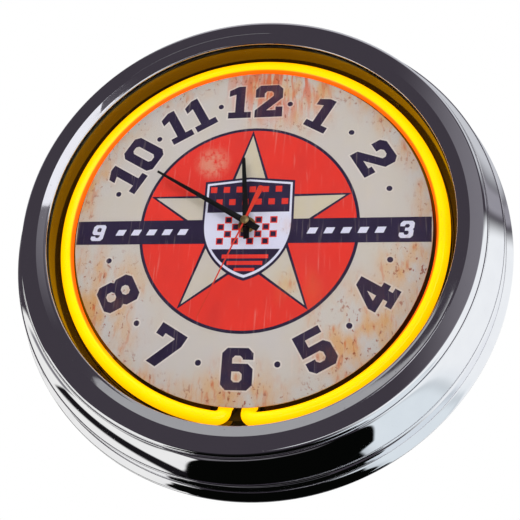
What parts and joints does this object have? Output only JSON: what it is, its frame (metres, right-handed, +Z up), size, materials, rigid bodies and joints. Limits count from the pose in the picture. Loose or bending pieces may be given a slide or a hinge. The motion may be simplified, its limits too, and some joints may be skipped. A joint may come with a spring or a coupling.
{
  "type": "illuminated advertising wall clock",
  "caption": "Round wall clock with a stepped chrome rim, flat glass, a printed dial inside a yellow neon ring, baton hands and a quartz movement.",
  "frame": {"origin": "on the hand axis, in the plane of the wall that the rim's rear edge rests on", "axes": "+Z is up, twelve o'clock; +Y points from the clock into the wall; +X is to the right of someone reading the dial"},
  "size_m": [0.38, 0.0514, 0.38],
  "materials": {
    "rim_chrome": "mirror chrome plating on spun steel, with fine pitting near its steps",
    "front_glass": "clear flat glass",
    "gasket_rubber": "matt black rubber",
    "channel_black": "gloss black, vacuum formed",
    "dial_print": "cream enamel with red and navy print, with faint rust streaks",
    "cover_paint": "satin black paint on sheet steel",
    "zinc_steel": "zinc-plated steel",
    "lit_glass": "glass tube, lit deep yellow",
    "clip_plastic": "clear moulded plastic",
    "boot_rubber": "matt black silicone rubber",
    "lead_silicone": "white silicone insulation",
    "lead_black": "black PVC insulation",
    "supply_plastic": "dark grey flame-retardant ABS",
    "board_laminate": "green solder mask on glass-fibre laminate",
    "transformer_tape": "yellow polyester tape over a ferrite core",
    "capacitor_sleeve": "navy shrink sleeve",
    "black_plastic": "black moulded ABS with a fine spark texture",
    "rocker_red": "red moulded polycarbonate",
    "knob_red": "red moulded acetal",
    "nickel_steel": "nickel-plated steel",
    "hub_brass": "turned brass, slightly tarnished",
    "wheel_brass": "stamped brass",
    "wheel_nylon": "natural moulded acetal",
    "cell_jacket": "plain printed steel jacket",
    "coil_copper": "enamelled copper wire",
    "rotor_ferrite": "sintered magnet",
    "hand_black": "satin black enamel on stamped steel",
    "hand_red": "red enamel on stamped steel"
  },
  "bodies": {
    "case": {"rim_shell": "rim_chrome", "glass_lens": "front_glass", "lens_gasket": "gasket_rubber", "channel_pan": "channel_black", "dial": "dial_print", "back_cover": "cover_paint", "keyhole_hanger": "zinc_steel", "cover_screw_1": "zinc_steel", "cover_screw_2": "zinc_steel", "cover_screw_3": "zinc_steel", "cover_screw_4": "zinc_steel", "cover_screw_5": "zinc_steel", "cover_screw_6": "zinc_steel", "neon_tube": "lit_glass", "tube_clip_1": "clip_plastic", "tube_clip_2": "clip_plastic", "tube_clip_3": "clip_plastic", "tube_clip_4": "clip_plastic", "electrode_boot_left": "boot_rubber", "electrode_boot_right": "boot_rubber", "high_voltage_lead_left": "lead_silicone", "high_voltage_lead_right": "lead_silicone", "inlet_lead": "lead_black", "switch_lead": "lead_black", "supply_tray": "supply_plastic", "supply_lid": "supply_plastic", "supply_board": "board_laminate", "circuit_board": "board_laminate", "step_up_transformer": "transformer_tape", "supply_capacitor": "capacitor_sleeve", "supply_transistor": "black_plastic", "power_inlet": "black_plastic", "switch_body": "black_plastic", "movement_case": "black_plastic", "movement_back": "black_plastic", "inlet_nut": "nickel_steel", "battery_contact_plus": "nickel_steel", "battery_contact_minus": "nickel_steel", "motor_stator": "nickel_steel", "quartz_crystal": "nickel_steel", "dial_washer": "hub_brass", "bushing_nut": "hub_brass", "battery_cell": "cell_jacket", "motor_coil": "coil_copper"},
    "second_arbor": {"seconds_wheel": "wheel_brass", "second_hand": "hand_red", "hub_cap": "hub_brass"},
    "minute_arbor": {"centre_wheel": "wheel_brass", "minute_hand": "hand_black"},
    "hour_arbor": {"hour_wheel": "wheel_nylon", "hour_hand": "hand_black"},
    "third_arbor": {"third_wheel": "wheel_nylon"},
    "intermediate_arbor": {"intermediate_wheel": "wheel_nylon"},
    "rotor_arbor": {"motor_rotor": "rotor_ferrite"},
    "motion_arbor": {"minute_wheel": "wheel_nylon"},
    "setting_arbor": {"setting_knob": "knob_red"},
    "rocker": {"switch_rocker": "rocker_red"}
  },
  "joints": [
    {"name": "second_turn", "type": "hinge", "parent": "case", "child": "second_arbor", "pos_m": [0, 0, 0], "axis": [0, 1, 0], "continuous": true},
    {"name": "minute_turn", "type": "hinge", "parent": "case", "child": "minute_arbor", "pos_m": [0, 0, 0], "axis": [0, 1, 0], "continuous": true},
    {"name": "hour_turn", "type": "hinge", "parent": "case", "child": "hour_arbor", "pos_m": [0, 0, 0], "axis": [0, 1, 0], "continuous": true},
    {"name": "third_turn", "type": "hinge", "parent": "case", "child": "third_arbor", "pos_m": [0.0051, 0, 0.00883], "axis": [0, 1, 0], "continuous": true},
    {"name": "intermediate_turn", "type": "hinge", "parent": "case", "child": "intermediate_arbor", "pos_m": [-0.00624, 0, 0.0036], "axis": [0, 1, 0], "continuous": true},
    {"name": "rotor_turn", "type": "hinge", "parent": "case", "child": "rotor_arbor", "pos_m": [-0.01169, 0, 0.00675], "axis": [0, 1, 0], "continuous": true},
    {"name": "motion_turn", "type": "hinge", "parent": "case", "child": "motion_arbor", "pos_m": [0.00811, 0, -0.00217], "axis": [0, 1, 0], "continuous": true},
    {"name": "setting_turn", "type": "hinge", "parent": "case", "child": "setting_arbor", "pos_m": [0.01623, 0, -0.00435], "axis": [0, 1, 0], "continuous": true},
    {"name": "rocker_tilt", "type": "hinge", "parent": "case", "child": "rocker", "pos_m": [-0.07, -0.0094, -0.075], "axis": [1, 0, 0], "range_deg": [-20, 0]}
  ],
  "couplings": [
    {"joint": "minute_turn", "follows": "second_turn", "ratio": 0.016667},
    {"joint": "hour_turn", "follows": "second_turn", "ratio": 0.0013889},
    {"joint": "third_turn", "follows": "second_turn", "ratio": -0.13333},
    {"joint": "intermediate_turn", "follows": "second_turn", "ratio": -6},
    {"joint": "rotor_turn", "follows": "second_turn", "ratio": 30},
    {"joint": "motion_turn", "follows": "second_turn", "ratio": -0.0055556},
    {"joint": "setting_turn", "follows": "second_turn", "ratio": 0.016667}
  ]
}
